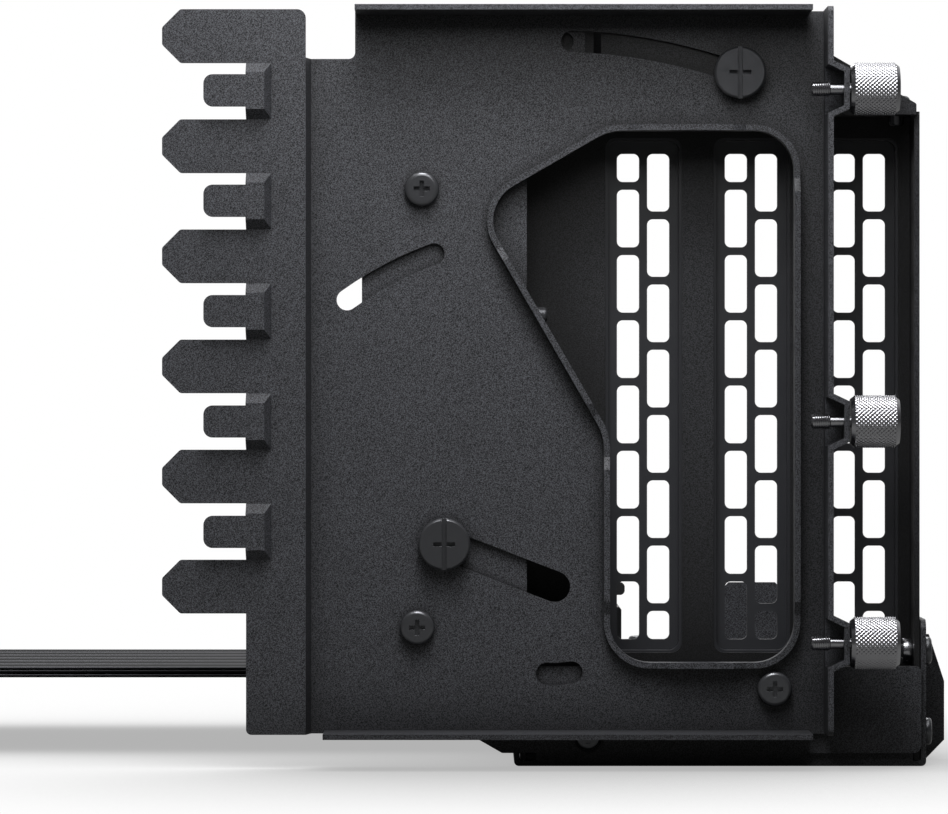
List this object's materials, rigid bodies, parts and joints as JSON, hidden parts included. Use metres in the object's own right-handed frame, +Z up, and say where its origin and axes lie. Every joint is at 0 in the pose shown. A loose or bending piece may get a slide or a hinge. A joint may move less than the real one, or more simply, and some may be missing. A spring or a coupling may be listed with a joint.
{
  "type": "vertical gpu bracket",
  "caption": "Black steel bracket that holds a graphics card upright in a computer case, with hook fingers, tilt slots, perforated slot covers, captive thumbscrews and a riser socket on a tray.",
  "frame": {"origin": "middle of the underside of the riser tray", "axes": "+X to the right as the front plate is seen from outside, +Y away from that viewer, +Z up"},
  "size_m": [0.2122, 0.1665, 0.1404],
  "materials": {
    "powder_steel": "fine textured black powder coat",
    "black_steel": "black zinc plated, satin",
    "nickel_steel": "bright nickel plated",
    "brass": "turned brass",
    "contact_metal": "gold flashed",
    "black_plastic": "moulded, satin",
    "circuit_board": "black solder mask",
    "ribbon_film": "dark grey insulated flat cable"
  },
  "bodies": {
    "bracket": {"front_plate": "powder_steel", "tilt_plate": "powder_steel", "slot_frame": "powder_steel", "base_tray": "powder_steel", "slot_cover_1": "powder_steel", "slot_cover_2": "powder_steel", "slot_cover_3": "powder_steel", "upper_tilt_screw": "black_steel", "lower_tilt_screw": "black_steel", "upper_lock_screw": "black_steel", "lower_lock_screw": "black_steel", "corner_lock_screw": "black_steel", "cover_screws": "black_steel", "frame_tab_screws": "black_steel", "tray_side_screws": "black_steel", "tray_lip_screws": "black_steel", "board_screws": "black_steel", "upper_tilt_nut": "nickel_steel", "lower_tilt_nut": "nickel_steel", "lock_nuts": "nickel_steel", "tray_side_nuts": "nickel_steel", "board_standoffs": "brass", "socket_contacts": "contact_metal", "riser_socket": "black_plastic", "ribbon_clamp": "black_plastic", "plug_housing": "black_plastic", "riser_board": "circuit_board", "plug_board": "circuit_board", "ribbon_layer_top": "ribbon_film", "ribbon_layer_middle": "ribbon_film", "ribbon_layer_bottom": "ribbon_film"},
    "top_thumbscrew": {"thumbscrew_top": "nickel_steel"},
    "middle_thumbscrew": {"thumbscrew_middle": "nickel_steel"},
    "bottom_thumbscrew": {"thumbscrew_bottom": "nickel_steel"},
    "latch": {"socket_latch": "black_plastic"}
  },
  "joints": [
    {"name": "top_thumbscrew_turn", "type": "hinge", "parent": "bracket", "child": "top_thumbscrew", "pos_m": [0.02728, -0.0867, 0.12499], "axis": [1, 0, 0], "continuous": true},
    {"name": "middle_thumbscrew_turn", "type": "hinge", "parent": "bracket", "child": "middle_thumbscrew", "pos_m": [0.02728, -0.0867, 0.06403], "axis": [1, 0, 0], "continuous": true},
    {"name": "bottom_thumbscrew_turn", "type": "hinge", "parent": "bracket", "child": "bottom_thumbscrew", "pos_m": [0.02728, -0.0867, 0.02339], "axis": [1, 0, 0], "continuous": true},
    {"name": "socket_latch_swing", "type": "hinge", "parent": "bracket", "child": "latch", "pos_m": [-0.02042, 0.0654, 0.0196], "axis": [-1, 0, 0], "range_deg": [0, 30]}
  ]
}
